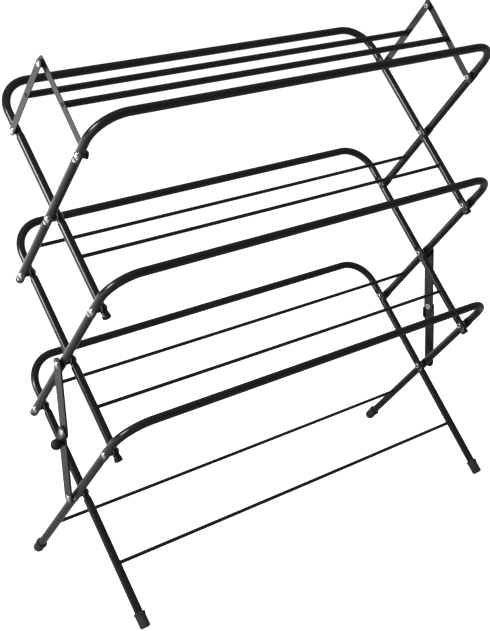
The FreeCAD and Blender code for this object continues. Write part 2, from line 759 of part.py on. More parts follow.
def footRivet(name, side):
    """Brace foot rivet: domed head outside, shank ending flush with its spacer."""
    body = newBody(name, z=bottomZ)
    section = newSketch(body, "Section", "XZ_Plane")
    headRadius = s.headSize / 2
    rim = s.smallHeadHeight * 0.4
    crown = s.smallHeadHeight - rim
    ball = (crown * crown + headRadius * headRadius) / (crown * 2)
    tip = lowerOut + s.smallHeadHeight
    polygon(section, [
        ((lowerOut + rim) * side, headRadius),
        (lowerOut * side, headRadius),
        (lowerOut * side, shankRadius),
        (stubIn * side, shankRadius),
        (stubIn * side, zero),
        (tip * side, zero, (tip - ball) * side, zero, side, "v"),
    ])
    body.Tip = turned(body, section)
    doc.recompute()


footRivet("brace_foot_rivet_left", -1.0)
footRivet("brace_foot_rivet_right", 1.0)


def rodRivets(name, y, tilt, reach, leftFace, rightFace):
    """Small rivets through the strips into the rod ends."""
    body = newBody(name, y=y, z=roofZ, tilt=tilt)
    small = s.rodRivetSize / 2
    head = s.rodRivetHead / 2
    for label, side, face in (("Left", -1.0, leftFace), ("Right", 1.0, rightFace)):
        section = newSketch(body, label, "XZ_Plane")
        seat = face + 0.35
        deep = face - s.stripThick - s.rodRivetDepth + 0.6
        polygon(section, [
            (deep * side, reach), (deep * side, reach + small),
            (seat * side, reach + small), (seat * side, reach + head),
            ((seat + 0.5) * side, reach + head), ((seat + 1.2) * side, reach + head * 0.6),
            ((seat + 1.4) * side, reach),
        ])
        axisSegment = Part.LineSegment(vec(deep * side - 2.0, reach), vec(deep * side + 2.0, reach))
        axisLine = section.addGeometry(axisSegment, True)
        pin(section, axisLine, 1, deep * side - 2.0, reach)
        pin(section, axisLine, 2, deep * side + 2.0, reach)
        turn = body.newObject("PartDesign::Revolution", section.Name + "Turn")
        turn.Profile = section
        turn.ReferenceAxis = (section, ["Axis0"])
        turn.Angle = 360.0
        section.Visibility = False
        doc.recompute()
        body.Tip = turn
    doc.recompute()


rodRivets("front_rod_rivets", -roofY, tiltInner, s.frontRodReach, leftFront + halfStrip,
          rightFront + halfStrip)
rodRivets("rear_rod_rivets", roofY, tiltOuter, s.rearRodReach, rearStripX + halfStrip, rearStripX + halfStrip)


# ---- spacers -----------------------------------------------------------------------------------

def ringSection(body, name, side, inside, outside, bore, radius):
    section = newSketch(body, name, "XZ_Plane")
    polygon(section, [
        (inside * side, bore), (outside * side, bore), (outside * side, radius - 0.4),
        ((outside - 0.4) * side, radius), ((inside + 0.4) * side, radius), (inside * side, radius - 0.4),
    ])
    return turned(body, section)


def spacers(name, y, z, tilt, leftPair, rightPair):
    body = newBody(name, y=y, z=z, tilt=tilt)
    ringSection(body, "Left", -1.0, leftPair[0], leftPair[1], shankRadius, s.spacerSize / 2)
    doc.recompute()
    body.Tip = ringSection(body, "Right", 1.0, rightPair[0], rightPair[1], shankRadius, s.spacerSize / 2)
    doc.recompute()


between = (innerFlat + s.facePlay, outerBack)
spacers("pivot_spacers_top", zero, topZ, tiltOuter, between, between)
spacers("pivot_spacers_middle", zero, middleZ, tiltOuter, between, between)
spacers("pivot_spacers_bottom", zero, bottomZ, tiltOuter, between, between)
spacers("rear_spacers_upper", lowY, topSideZ, tiltOuter, between, between)
spacers("rear_spacers_lower", lowY, middleSideZ, tiltOuter, between, between)
spacers("front_spacers_upper", -lowY, topSideZ, tiltOuter, between, between)
spacers("front_spacers_lower", -lowY, middleSideZ, tiltOuter, between, between)
frontGap = (frontLowX + halfStrip + s.facePlay, outerBack)
spacers("front_strip_spacers", -roofY, roofZ, tiltOuter, frontGap, frontGap)
rearGap = (innerFlat, rearStripX - halfStrip - s.facePlay)
spacers("rear_strip_spacers", roofY, roofZ, tiltInner, rearGap, rearGap)
spacers("apex_spacers", zero, apexZ, tiltOuter,
        (frontHighLeft + halfStrip + s.facePlay, rearStripX - halfStrip),
        (rearStripX + halfStrip, frontHighRight - halfStrip - s.facePlay))
braceTop = (outerFlat, upperIn - s.facePlay)
spacers("brace_top_spacers", zero, middleZ, tiltOuter, braceTop, braceTop)


def footSpacer(name, side):
    body = newBody(name, z=bottomZ)
    body.Tip = ringSection(body, "Ring", side, stubIn, lowerIn, shankRadius, s.spacerSize / 2)
    doc.recompute()


footSpacer("brace_foot_spacer_left", -1.0)
footSpacer("brace_foot_spacer_right", 1.0)


# ---- folding braces ----------------------------------------------------------------------------

def braceUpper(name, side):
    body = newBody(name, z=middleZ)
    face = upperIn if side > 0 else -upperOut
    outline = newSketch(body, "Outline", "YZ_Plane", face)
    half = s.braceWidth / 2
    stadium(outline, zero, -linkLength, zero + 0, half, half, half)
    circle(outline, zero, zero, turnRadius)
    circle(outline, zero, -linkLength, turnRadius)
    body.Tip = pad(body, outline, s.braceThick)
    doc.recompute()


def braceLower(name, side):
    body = newBody(name, z=bottomZ)
    face = lowerIn if side > 0 else -lowerOut
    outline = newSketch(body, "Outline", "YZ_Plane", face)
    half = s.braceWidth / 2
    ear = half + s.tabPlay + s.tabThick
    high = linkLength + 0
    tabLow = high - s.tabBelow
    polygon(outline, [
        (-half, zero, zero, zero, 1, "v"),
        (half, zero),
        (half, tabLow - 6.0),
        (ear, tabLow),
        (ear, high + half),
        (zero, high + half, zero, high, 1, "u"),
        (-half, high),
    ])
    circle(outline, zero, zero, shankRadius)
    circle(outline, zero, high, shankRadius)
    circle(outline, zero, high - s.knobDrop, s.knobStud / 2)
    plate = pad(body, outline, s.braceThick)
    doc.recompute()
    tab = newSketch(body, "Tab", "XY_Plane", tabLow + 1.0)
    near = upperIn * side
    far = lowerIn * side
    inner = half + s.tabPlay
    polygon(tab, [(near, inner), (far + 0.5 * side, inner), (far + 0.5 * side, ear), (near, ear)])
    body.Tip = pad(body, tab, s.tabBelow + half - 2.0)
    doc.recompute()


braceUpper("brace_upper_left", -1.0)
braceUpper("brace_upper_right", 1.0)
braceLower("brace_lower_left", -1.0)
braceLower("brace_lower_right", 1.0)


def knob(name):
    """Ball knob on a short neck, with a stud that ends flush inside the link."""
    body = newBody(name, z=hingeZ - s.knobDrop)
    section = newSketch(body, "Section", "XZ_Plane")
    centre = lowerOut + s.knobReach
    ball = s.knobSize / 2
    neck = s.knobNeck / 2
    stud = s.knobStud / 2
    rootValue = math.sqrt(ball.value ** 2 - neck.value ** 2)
    ballSquared, neckSquared = ball.formula + " * " + ball.formula, neck.formula + " * " + neck.formula
    rootText = "sqrt(" + ballSquared + " - " + neckSquared + ")"
    inset = Size(rootValue, rootText)
    polygon(section, [
        (-lowerIn, zero),
        (-lowerIn, stud),
        (-lowerOut, stud),
        (-lowerOut, neck),
        (-(centre - inset), neck, -centre, zero, 1.0, "v"),
        (-(centre + ball), zero),
    ])
    body.Tip = turned(body, section)
    doc.recompute()


knob("brace_knob")


# ---- checks and export -------------------------------------------------------------------------

doc.recompute()
problems = []
for item in doc.Objects:
    for word in ("Invalid", "Error"):
        if word in item.State:
            problems.append(item.Name + " " + str(item.State))
for body in nodes:
    shape = body.Shape
    if shape.isNull() or not shape.isValid() or not shape.Solids:
        problems.append(body.Label + " has no valid solid")
print("objects", len(doc.Objects), "nodes", len(nodes))
if problems:
    print("PROBLEMS", problems)
    raise RuntimeError("invalid geometry: " + "; ".join(problems))
whole = None
for body in nodes:
    body.Shape.exportStep("parts/" + body.Label + ".step")
    box = body.Shape.BoundBox
    whole = FreeCAD.BoundBox(box) if whole is None else whole
    whole.add(box)
    print(body.Label, len(body.Shape.Solids), "solids", round(body.Shape.Volume, 1), "mm3")
print("size", round(whole.XLength, 2), round(whole.YLength, 2), round(whole.ZLength, 2))
print("from", round(whole.XMin, 2), round(whole.YMin, 2), round(whole.ZMin, 2))
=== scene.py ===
import bpy
import json
import math
from mathutils import Matrix, Vector


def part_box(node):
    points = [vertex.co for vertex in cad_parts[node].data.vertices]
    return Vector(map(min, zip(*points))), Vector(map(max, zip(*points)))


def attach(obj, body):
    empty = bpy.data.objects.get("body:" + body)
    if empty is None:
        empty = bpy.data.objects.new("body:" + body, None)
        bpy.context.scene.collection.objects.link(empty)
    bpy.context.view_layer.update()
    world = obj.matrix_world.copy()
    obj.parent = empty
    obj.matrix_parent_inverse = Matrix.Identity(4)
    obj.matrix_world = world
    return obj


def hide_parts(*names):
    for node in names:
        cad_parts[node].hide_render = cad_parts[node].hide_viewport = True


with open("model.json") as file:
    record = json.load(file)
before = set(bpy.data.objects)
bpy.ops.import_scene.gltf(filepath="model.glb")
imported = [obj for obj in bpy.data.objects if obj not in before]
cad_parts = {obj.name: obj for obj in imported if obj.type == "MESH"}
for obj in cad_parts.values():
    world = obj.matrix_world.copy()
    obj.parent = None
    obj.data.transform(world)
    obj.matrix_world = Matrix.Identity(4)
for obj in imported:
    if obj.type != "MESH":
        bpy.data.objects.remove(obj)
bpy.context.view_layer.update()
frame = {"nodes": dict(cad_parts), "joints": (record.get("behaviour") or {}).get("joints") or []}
print("rack frame loaded:", len(frame["nodes"]), "nodes")

jointAt = {joint["name"]: Vector(joint["pos_m"]) for joint in frame["joints"]}
tubeRadius = 0.006  # the CAD tube's


def middleOf(node):
    low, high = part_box(node)
    return (low + high) / 2


outerLow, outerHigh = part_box("outer_frame_top")
innerLow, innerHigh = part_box("inner_frame_top")
midX = (outerLow.x + outerHigh.x) / 2
outerX = (outerHigh.x - outerLow.x) / 2 - tubeRadius
innerX = (innerHigh.x - innerLow.x) / 2 - tubeRadius
bottomPivot = jointAt["fold"]
middlePivot = jointAt["left_brace_pivot"]
topPivot = Vector((midX, 0.0, middleOf("pivot_rivets_top").z))
sidePivot = jointAt["lower_front_pivot"]
lean = math.atan2(-sidePivot.y, middlePivot.z - sidePivot.z)
armLength = math.hypot(sidePivot.y, middlePivot.z - sidePivot.z)
roofArm = math.hypot(jointAt["front_roof_pivot"].y, jointAt["front_roof_pivot"].z - topPivot.z)


cameraView = {
    "spot": (-1.1087, -1.4535, bottomPivot.z + 0.9035),
    "turn": 0.9214,       # heading from +X towards +Y, radians
    "dip": 0.3547,        # looking down
    "roll": -0.0368,
    "lens": 90.32,
    "shift": (-0.0237, -0.0413),
}


def placeCamera(view):
    turn, dip, roll = view["turn"], view["dip"], view["roll"]
    ahead = Vector((math.cos(turn) * math.cos(dip), math.sin(turn) * math.cos(dip), -math.sin(dip)))
    flatRight = Vector((math.sin(turn), -math.cos(turn), 0.0))
    flatUp = flatRight.cross(ahead)
    right = flatRight * math.cos(roll) + flatUp * math.sin(roll)
    up = flatUp * math.cos(roll) - flatRight * math.sin(roll)
    camera = bpy.data.objects.new("camera", bpy.data.cameras.new("camera"))
    bpy.context.scene.collection.objects.link(camera)
    axes = Matrix((right, up, -ahead)).transposed().to_4x4()
    camera.matrix_world = Matrix.Translation(Vector(view["spot"])) @ axes
    camera.data.sensor_fit = "HORIZONTAL"
    camera.data.sensor_width = 36.0
    camera.data.lens = view["lens"]
    camera.data.shift_x, camera.data.shift_y = view["shift"]
    camera.data.clip_end = 50.0
    bpy.context.scene.camera = camera


placeCamera(cameraView)
print("camera placed")


def startGroup(name, inputs, outputs):
    group = bpy.data.node_groups.new(name, "ShaderNodeTree")
    for label, value in inputs.items():
        socket = group.interface.new_socket(name=label, in_out="INPUT", socket_type="NodeSocketFloat")
        socket.default_value = value
    for label in outputs:
        group.interface.new_socket(name=label, in_out="OUTPUT", socket_type="NodeSocketFloat")
    return group, group.nodes.new("NodeGroupInput"), group.nodes.new("NodeGroupOutput")


def connect(tree, source, socket, target, entry):
    tree.links.new(source.outputs[socket], target.inputs[entry])


def addMath(tree, operation, clamp=False):
    node = tree.nodes.new("ShaderNodeMath")
    node.operation = operation
    node.use_clamp = clamp
    return node


def addNoise(tree, source, socket, detail, scale=None):
    noise = tree.nodes.new("ShaderNodeTexNoise")
    noise.inputs["Detail"].default_value = detail
    if scale:
        noise.inputs["Scale"].default_value = scale
    connect(tree, source, socket, noise, "Vector")
    return noise


def addRange(tree, source, socket, least, most):
    # 0 up to least, 1 from most on
    node = tree.nodes.new("ShaderNodeMapRange")
    node.inputs["From Min"].default_value = least
    node.inputs["From Max"].default_value = most
    connect(tree, source, socket, node, "Value")
    return node


def makePaintSkin():
    # sprayed film: fine orange peel, slow gloss drift, a trace of dust on faces that look up
    group, given, result = startGroup(
        "paintSkin", {"Peel Size": 900.0, "Gloss": 0.2, "Drift": 0.06, "Dust": 0.1},
        ("Height", "Roughness", "Dust Mask"))
    place = group.nodes.new("ShaderNodeTexCoord")
    peel = addNoise(group, place, "Object", 2.0)
    connect(group, given, "Peel Size", peel, "Scale")
    connect(group, peel, "Fac", result, "Height")
    slow = addNoise(group, place, "Object", 3.0, 24.0)
    spread = addMath(group, "MULTIPLY")
    connect(group, slow, "Fac", spread, 0)
    connect(group, given, "Drift", spread, 1)
    rough = addMath(group, "ADD")
    connect(group, spread, "Value", rough, 0)
    connect(group, given, "Gloss", rough, 1)
    connect(group, rough, "Value", result, "Roughness")
    facing = group.nodes.new("ShaderNodeNewGeometry")
    parts = group.nodes.new("ShaderNodeSeparateXYZ")
    connect(group, facing, "Normal", parts, "Vector")
    upward = addRange(group, parts, "Z", 0.35, 1.0)
    specks = addNoise(group, place, "Object", 6.0, 260.0)
    sparse = addRange(group, specks, "Fac", 0.45, 0.75)
    both = addMath(group, "MULTIPLY")
    connect(group, upward, "Result", both, 0)
    connect(group, sparse, "Result", both, 1)
    scaled = addMath(group, "MULTIPLY")
    connect(group, both, "Value", scaled, 0)
    connect(group, given, "Dust", scaled, 1)
    connect(group, scaled, "Value", result, "Dust Mask")
    return group


def makeEdgeRub():
    # bright or pale where an edge gets rubbed, broken up so no line is even
    group, given, result = startGroup(
        "edgeRub", {"Reach": 0.56, "Strength": 0.5, "Break Up": 180.0}, ("Mask",))
    shape = group.nodes.new("ShaderNodeNewGeometry")
    place = group.nodes.new("ShaderNodeTexCoord")
    ragged = addNoise(group, place, "Object", 5.0)
    connect(group, given, "Break Up", ragged, "Scale")
    over = addMath(group, "SUBTRACT")
    connect(group, shape, "Pointiness", over, 0)
    connect(group, given, "Reach", over, 1)
    steep = addMath(group, "MULTIPLY", clamp=True)
    steep.inputs[1].default_value = 14.0
    connect(group, over, "Value", steep, 0)
    torn = addMath(group, "MULTIPLY")
    connect(group, steep, "Value", torn, 0)
    connect(group, ragged, "Fac", torn, 1)
    out = addMath(group, "MULTIPLY", clamp=True)
    connect(group, torn, "Value", out, 0)
    connect(group, given, "Strength", out, 1)
    connect(group, out, "Value", result, "Mask")
    return group


def makeMouldGrain():
    # fine spark-eroded grain of a moulded plastic or rubber part
    group, given, result = startGroup(
        "mouldGrain", {"Grain Size": 1400.0, "Cloud": 0.3, "Rough": 0.6}, ("Height", "Tone", "Roughness"))
    place = group.nodes.new("ShaderNodeTexCoord")
    grain = group.nodes.new("ShaderNodeTexVoronoi")
    connect(group, place, "Object", grain, "Vector")
    connect(group, given, "Grain Size", grain, "Scale")
    connect(group, grain, "Distance", result, "Height")
    cloud = addNoise(group, place, "Object", 5.0, 90.0)
    tone = addMath(group, "MULTIPLY")
    connect(group, cloud, "Fac", tone, 0)
    connect(group, given, "Cloud", tone, 1)
    connect(group, tone, "Value", result, "Tone")
    rough = addMath(group, "MULTIPLY_ADD")
    rough.inputs[1].default_value = 0.15
    connect(group, cloud, "Fac", rough, 0)
    connect(group, given, "Rough", rough, 2)
    connect(group, rough, "Value", result, "Roughness")
    return group


paintSkin = makePaintSkin()
edgeRub = makeEdgeRub()
mouldGrain = makeMouldGrain()
print("shader groups built")


def startFinish(name):
    finish = bpy.data.materials.new(name)
    finish.use_nodes = True
    tree = finish.node_tree
    shader = tree.nodes["Principled BSDF"]
    return finish, tree, shader


def placeGroup(tree, group, values):
    node = tree.nodes.new("ShaderNodeGroup")
    node.node_tree = group
    for label, value in values.items():
        node.inputs[label].default_value = value
    return node


def addBump(tree, shader, source, socket, strength, distance):
    bump = tree.nodes.new("ShaderNodeBump")
    bump.inputs["Strength"].default_value = strength
    bump.inputs["Distance"].default_value = distance
    connect(tree, source, socket, bump, "Height")
    connect(tree, bump, "Normal", shader, "Normal")


def mixColours(tree, mask, maskSocket, first, second):
    mix = tree.nodes.new("ShaderNodeMix")
    mix.data_type = "RGBA"
    mix.inputs[6].default_value = (*first, 1.0)
    mix.inputs[7].default_value = (*second, 1.0)
    tree.links.new(mask.outputs[maskSocket], mix.inputs[0])
    return mix


def paintedFinish(name, settings):
    finish, tree, shader = startFinish(name)
    skin = placeGroup(tree, paintSkin, {"Peel Size": settings["peelSize"], "Gloss": settings["gloss"],
                                        "Drift": settings["drift"], "Dust": settings["dust"]})
    rub = placeGroup(tree, edgeRub, {"Reach": settings["rubReach"], "Strength": settings["rub"],
                                     "Break Up": settings["rubBreakUp"]})
    worn = mixColours(tree, rub, "Mask", settings["colour"], settings["rubColour"])
    dusty = tree.nodes.new("ShaderNodeMix")
    dusty.data_type = "RGBA"
    dusty.inputs[7].default_value = (*settings["dustColour"], 1.0)
    tree.links.new(skin.outputs["Dust Mask"], dusty.inputs[0])
    tree.links.new(worn.outputs[2], dusty.inputs[6])
    tree.links.new(dusty.outputs[2], shader.inputs["Base Color"])
    tree.links.new(skin.outputs["Roughness"], shader.inputs["Roughness"])
    addBump(tree, shader, skin, "Height", settings["peel"], 0.0002)
    shader.inputs["IOR"].default_value = settings["ior"]
    shader.inputs["Coat Weight"].default_value = settings["coat"]
    shader.inputs["Coat Roughness"].default_value = settings["coatRough"]
    return finish


def mouldedFinish(name, settings):
    finish, tree, shader = startFinish(name)
    grain = placeGroup(tree, mouldGrain, {"Grain Size": settings["grainSize"], "Cloud": settings["cloud"],
                                          "Rough": settings["rough"]})
    tone = mixColours(tree, grain, "Tone", settings["colour"], settings["paleColour"])
    tree.links.new(tone.outputs[2], shader.inputs["Base Color"])
    tree.links.new(grain.outputs["Roughness"], shader.inputs["Roughness"])
    addBump(tree, shader, grain, "Height", settings["grain"], 0.0002)
    shader.inputs["IOR"].default_value = 1.48
    return finish


def zincFinish(name, settings):
    # bright plated steel with turning marks round its own axis, which lies along X
    finish, tree, shader = startFinish(name)
    place = tree.nodes.new("ShaderNodeTexCoord")
    stretch = tree.nodes.new("ShaderNodeMapping")
    stretch.inputs["Scale"].default_value = (6000.0, 160.0, 160.0)
    connect(tree, place, "Object", stretch, "Vector")
    marks = addNoise(tree, stretch, "Vector", 3.0, 1.0)
    blotch = addNoise(tree, place, "Object", 4.0, 320.0)
    tone = mixColours(tree, blotch, "Fac", settings["colour"], settings["dullColour"])
    tree.links.new(tone.outputs[2], shader.inputs["Base Color"])
    rough = tree.nodes.new("ShaderNodeMapRange")
    rough.inputs["To Min"].default_value = settings["gloss"]
    rough.inputs["To Max"].default_value = settings["gloss"] + settings["dulling"]
    tree.links.new(blotch.outputs["Fac"], rough.inputs["Value"])
    tree.links.new(rough.outputs["Result"], shader.inputs["Roughness"])
    addBump(tree, shader, marks, "Fac", settings["marks"], 0.0001)
    shader.inputs["Metallic"].default_value = 1.0
    return finish


glossBlack = {
    "colour": (0.014, 0.014, 0.0145),
    "gloss": 0.19,             # roughness before the drift
    "drift": 0.07,
    "peel": 0.05,
    "peelSize": 620.0,
    "rub": 0.5,                # wear on edges
    "rubColour": (0.03, 0.03, 0.032),
    "rubReach": 0.56,
    "rubBreakUp": 220.0,
    "dust": 0.05,
    "dustColour": (0.16, 0.155, 0.15),
    "ior": 1.45,
    "coat": 0.15,
    "coatRough": 0.06,
}
tubePaint = paintedFinish("tubePaint", glossBlack)
wirePaint = paintedFinish("wirePaint", {**glossBlack, "gloss": 0.26, "peelSize": 900.0})
stripPaint = paintedFinish("stripPaint", {**glossBlack, "gloss": 0.24, "rub": 0.9, "rubReach": 0.54})
linkPaint = paintedFinish("linkPaint", {**glossBlack, "gloss": 0.27, "rub": 0.9, "rubReach": 0.54})

zinc = {"colour": (0.86, 0.86, 0.87), "dullColour": (0.62, 0.62, 0.64), "gloss": 0.16, "dulling": 0.18,
        "marks": 0.12}
brightZinc = zincFinish("brightZinc", zinc)

moulded = {"cloud": 0.4, "grain": 0.1, "grainSize": 1800.0}
paleNylon = mouldedFinish("paleNylon", {
    **moulded, "colour": (0.34, 0.34, 0.33), "paleColour": (0.5, 0.5, 0.49), "cloud": 0.5, "rough": 0.42,
    "grain": 0.05})
bushBlack = mouldedFinish("bushBlack", {
    **moulded, "colour": (0.008, 0.008, 0.009), "paleColour": (0.03, 0.03, 0.03), "rough": 0.45})
footRubber = mouldedFinish("footRubber", {
    **moulded, "colour": (0.022, 0.022, 0.023), "paleColour": (0.06, 0.06, 0.06), "cloud": 0.5, "rough": 0.62,
    "grain": 0.22, "grainSize": 1300.0})
plugBlack = mouldedFinish("plugBlack", {
    **moulded, "colour": (0.012, 0.012, 0.012), "paleColour": (0.035, 0.035, 0.035), "rough": 0.5,
    "grain": 0.15, "grainSize": 1500.0})
knobBlack = mouldedFinish("knobBlack", {
    **moulded, "colour": (0.006, 0.006, 0.006), "paleColour": (0.02, 0.02, 0.02), "rough": 0.58,
    "grain": 0.08, "grainSize": 1700.0})
print("finishes mixed")


def roundedSection(thick, wide, corner):
    # closed outline of a rounded box, halves given; equal halves and corner make a circle
    corner = min(corner, thick, wide)
    steps = 7
    outline = []
    for quarter, (sideA, sideB) in enumerate(((1, 1), (-1, 1), (-1, -1), (1, -1))):
        for step in range(steps):
            angle = math.radians(quarter * 90 + (step + 0.5) / steps * 90)
            outline.append((sideA * (thick - corner) + corner * math.cos(angle),
                            sideB * (wide - corner) + corner * math.sin(angle)))
    return outline


def loft(stations, verts, faces, ids):
    # stations: (centre, thick axis, wide axis, half thick, half wide, corner); ids are finish numbers
    rings = []
    for centre, axisA, axisB, thick, wide, corner in stations:
        ring = []
        for a, b in roundedSection(thick, wide, corner):
            ring.append(len(verts))
            verts.append(centre + axisA * a + axisB * b)
        rings.append(ring)
    for low, high in zip(rings[:-1], rings[1:]):
        count = len(low)
        for i in range(count):
            j = (i + 1) % count
            faces.append((low[i], low[j], high[j], high[i]))
    faces.append(tuple(reversed(rings[0])))
    faces.append(tuple(rings[-1]))
    ids.extend([0] * (len(faces) - len(ids)))


def turn(profile, origin, axis, verts, faces, ids, finish=0, steps=36):
    # profile: (along axis, radius); ends on the axis close themselves
    axis = axis.normalized()
    helper = Vector((0, 0, 1)) if abs(axis.z) < 0.9 else Vector((0, 1, 0))
    sideA = axis.cross(helper).normalized()
    sideB = axis.cross(sideA)
    rings = []
    for along, radius in profile:
        if radius < 1e-7:
            rings.append([len(verts)])
            verts.append(origin + axis * along)
            continue
        ring = []
        for step in range(steps):
            angle = 2 * math.pi * step / steps
            ring.append(len(verts))
            outward = sideA * (radius * math.cos(angle)) + sideB * (radius * math.sin(angle))
            verts.append(origin + axis * along + outward)
        rings.append(ring)
    for low, high in zip(rings[:-1], rings[1:]):
        for i in range(steps):
            j = (i + 1) % steps
            if len(low) == 1 and len(high) == 1:
                continue
            if len(low) == 1:
                faces.append((low[0], high[j], high[i]))
            elif len(high) == 1:
                faces.append((low[i], low[j], high[0]))
            else:
                faces.append((low[i], low[j], high[j], high[i]))
            ids.append(finish)


def finishPiece(name, body, node, verts, faces, ids, finishes, crease):
    mesh = bpy.data.meshes.new(name)
    mesh.from_pydata([tuple(v) for v in verts], [], faces)
    for finish in finishes:
        mesh.materials.append(finish)
    for polygon, index in zip(mesh.polygons, ids):
        polygon.material_index = index
        polygon.use_smooth = True
    piece = bpy.data.objects.new(name, mesh)
    bpy.context.scene.collection.objects.link(piece)
    bpy.context.view_layer.objects.active = piece
    bpy.ops.object.select_all(action="DESELECT")
    piece.select_set(True)
    bpy.ops.object.mode_set(mode="EDIT")
    bpy.ops.mesh.select_all(action="SELECT")
    bpy.ops.mesh.normals_make_consistent(inside=False)
    bpy.ops.object.mode_set(mode="OBJECT")
    mesh.set_sharp_from_angle(angle=math.radians(crease))
    weighted = piece.modifiers.new("faceNormals", "WEIGHTED_NORMAL")
    weighted.keep_sharp = True
    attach(piece, body)
    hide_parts(node)
    return piece


def legAxes(side):
    # side +1 outer frames lean forward at the top, -1 inner frames lean back
    up = Vector((0.0, -math.sin(lean) * side, math.cos(lean)))
    across = Vector((0.0, math.cos(lean), math.sin(lean) * side))
    return up, across


tubeShape = {
    "drawnRadius": 0.0063,    # 0.3 mm over the CAD tube, for its bolder look
    "bendRadius": 0.048,
    "railReach": 0.0773,      # side pivot to rail
    "roofRailReach": 0.0777,  # strip pivot to rail, top frames
    "endReach": 0.0135,       # side pivot to the cut end
    "footEnd": 0.214,
    "flatHalf": 0.0075,       # half length of a pressed flat
    "ramp": 0.0050,
    "flatThick": 0.00325,     # half thickness and half width of the flat
    "flatWide": 0.0075,
    "bendSteps": 30,
    "railSteps": 24,
}


def pressedAt(s, pivots, shape):
    near = min(abs(s - pivot) for pivot in pivots)
    if near <= shape["flatHalf"]:
        return 1.0
    t = 1.0 - (near - shape["flatHalf"]) / shape["ramp"]
    t = max(0.0, min(1.0, t))
    return t * t * (3 - 2 * t)


def legSteps(low, high, pivots, shape):
    marks = {low, high}
    reach = shape["flatHalf"] + shape["ramp"]
    for pivot in pivots:
        step = -reach
        while step <= reach + 1e-9:
            if low < pivot + step < high:
                marks.add(round(pivot + step, 6))
            step += 0.001
    filled = sorted(marks)
    extra = []
    for a, b in zip(filled[:-1], filled[1:]):
        parts = int((b - a) / 0.012)
        extra.extend(a + (b - a) * k / (parts + 1) for k in range(1, parts + 1))
    return sorted(set(filled + extra))


def makeFrame(name, body, legX, low, pivots, origin, side, rail, shape):
    up, across = legAxes(side)
    bend, turns = shape["bendRadius"], shape["bendSteps"]
    corner = rail - bend
    inset = legX - bend
    route = []
    steps = legSteps(low, corner, pivots, shape)
    for s in steps:
        route.append((-legX, s, 0.0, pressedAt(s, pivots, shape)))
    for k in range(1, turns + 1):
        angle = math.radians(90 * k / turns)
        route.append((-inset - bend * math.cos(angle), corner + bend * math.sin(angle), angle, 0.0))
    for k in range(1, shape["railSteps"]):
        route.append((-inset + 2 * inset * k / shape["railSteps"], rail, math.pi / 2, 0.0))
    for k in range(turns + 1):
        angle = math.radians(90 + 90 * k / turns)
        route.append((inset - bend * math.cos(angle), corner + bend * math.sin(angle), angle, 0.0))
    for s in reversed(steps[:-1]):
        route.append((legX, s, math.pi, pressedAt(s, pivots, shape)))
    stations = []
    for x, s, angle, press in route:
        normal = Vector((-math.cos(angle), 0, 0)) + up * math.sin(angle)
        thick = shape["drawnRadius"] + (shape["flatThick"] - shape["drawnRadius"]) * press
        wide = shape["drawnRadius"] + (shape["flatWide"] - shape["drawnRadius"]) * press
        stations.append((origin + Vector((x, 0, 0)) + up * s, normal, across, thick, wide, min(thick, wide)))
    verts, faces, ids = [], [], []
    loft(stations, verts, faces, ids)
    return finishPiece(name + "Tube", body, name, verts, faces, ids, [tubePaint], crease=50)


def pivotOn(z):
    return Vector((midX, 0.0, z))


upper, middle, lower = pivotOn(topPivot.z), pivotOn(middlePivot.z), pivotOn(bottomPivot.z)
cutEnd = -(armLength + tubeShape["endReach"])
railTop, railLow = roofArm + tubeShape["roofRailReach"], armLength + tubeShape["railReach"]
topFrame = (cutEnd, (-armLength, 0, roofArm), upper)  # lower end, pressed flats, origin
middleFrame = (cutEnd, (-armLength, 0, armLength), middle)
bottomFrame = (-tubeShape["footEnd"], (0, armLength), lower)
makeFrame("outer_frame_top", "upper_outer", outerX, *topFrame, 1, railTop, tubeShape)
makeFrame("outer_frame_middle", "middle_outer", outerX, *middleFrame, 1, railLow, tubeShape)
makeFrame("outer_frame_bottom", "lower_outer", outerX, *bottomFrame, 1, railLow, tubeShape)
makeFrame("inner_frame_top", "upper_inner", innerX, *topFrame, -1, railTop, tubeShape)
makeFrame("inner_frame_middle", "middle_inner", innerX, *middleFrame, -1, railLow, tubeShape)
makeFrame("inner_frame_bottom", "lower_inner", innerX, *bottomFrame, -1, railLow, tubeShape)
print("tube frames bent")


wireShape = {
    "radius": 0.0029,         # 0.2 mm over the CAD wire
    "weldRadius": 0.0036,
    "weldReach": 0.0022,
    "weldSteps": (0.0006, 0.0012, 0.0018, 0.0024, 0.004),
    "steps": 44,
    "sag": 0.0006,
    "bite": 0.0002,           # into the leg's wall
}


def barStation(x, y, z, radius):
    return (Vector((x, y, z)), Vector((0, 1, 0)), Vector((0, 0, 1)), radius, radius, radius)


def makeWire(node, body, legX, shape):
    centre = middleOf(node)
    half = legX - tubeRadius + shape["bite"]
    spots = [half * (-1 + 2 * k / shape["steps"]) for k in range(shape["steps"] + 1)]
    for inside in shape["weldSteps"]:
        spots += [-half + inside, half - inside]
    rings = []
    for x in sorted(spots):
        weld = max(0.0, 1 - (half - abs(x)) / shape["weldReach"])
        radius = shape["radius"] + (shape["weldRadius"] - shape["radius"]) * weld * weld
        drop = shape["sag"] * (1 - (x / half) ** 2)
        rings.append(barStation(midX + x, centre.y, centre.z - drop, radius))
    verts, faces, ids = [], [], []
    loft(rings, verts, faces, ids)
    return finishPiece(node + "Bar", body, node, verts, faces, ids, [wirePaint], crease=60)


for layer, legX in (("outer", outerX), ("inner", innerX)):
    for tier, body in (("top", "upper_"), ("middle", "middle_"), ("bottom", "lower_")):
        makeWire(layer + "_wire_" + tier, body + layer, legX, wireShape)

rodShape = {"radius": 0.0049, "endRadius": 0.0045, "chamfer": 0.0006, "steps": 30}  # 0.2 mm over the CAD rod


